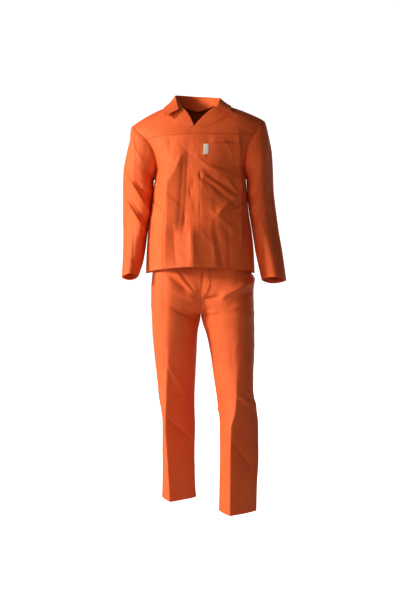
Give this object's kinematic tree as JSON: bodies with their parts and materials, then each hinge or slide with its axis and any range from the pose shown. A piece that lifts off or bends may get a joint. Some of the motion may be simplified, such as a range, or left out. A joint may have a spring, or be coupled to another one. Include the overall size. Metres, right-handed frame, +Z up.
{
  "type": "two-piece work suit",
  "caption": "Worn two-piece work suit of plain drill: a lapped jacket with open collar, yokes and patch pockets, over straight creased trousers.",
  "frame": {"origin": "middle of the neck opening at the height of the shoulder seams, where the wearer's shoulders hold the suit up", "axes": "+Z up, -Y the front of the suit, +X the wearer's left"},
  "size_m": [0.5884, 0.3694, 1.4769],
  "materials": {
    "jacket_drill": "plain orange polycotton drill, matt",
    "trouser_drill": "plain orange polycotton drill, matt",
    "tab_white": "plain white woven tab, matt, blank"
  },
  "bodies": {
    "root": {"jacket_back": "jacket_drill", "jacket_back_yoke": "jacket_drill", "jacket_front_right": "jacket_drill", "jacket_front_left": "jacket_drill", "jacket_front_yoke_right": "jacket_drill", "jacket_front_yoke_left": "jacket_drill", "sleeve_right": "jacket_drill", "sleeve_left": "jacket_drill", "collar": "jacket_drill", "lapel_right": "jacket_drill", "lapel_left": "jacket_drill", "front_strip": "jacket_drill", "chest_pocket": "jacket_drill", "lower_pocket_right": "jacket_drill", "lower_pocket_left": "jacket_drill", "blank_tab": "tab_white", "trouser_front_right": "trouser_drill", "trouser_front_left": "trouser_drill", "trouser_back_right": "trouser_drill", "trouser_back_left": "trouser_drill", "waistband": "trouser_drill", "fly_strip": "trouser_drill"}
  },
  "joints": []
}
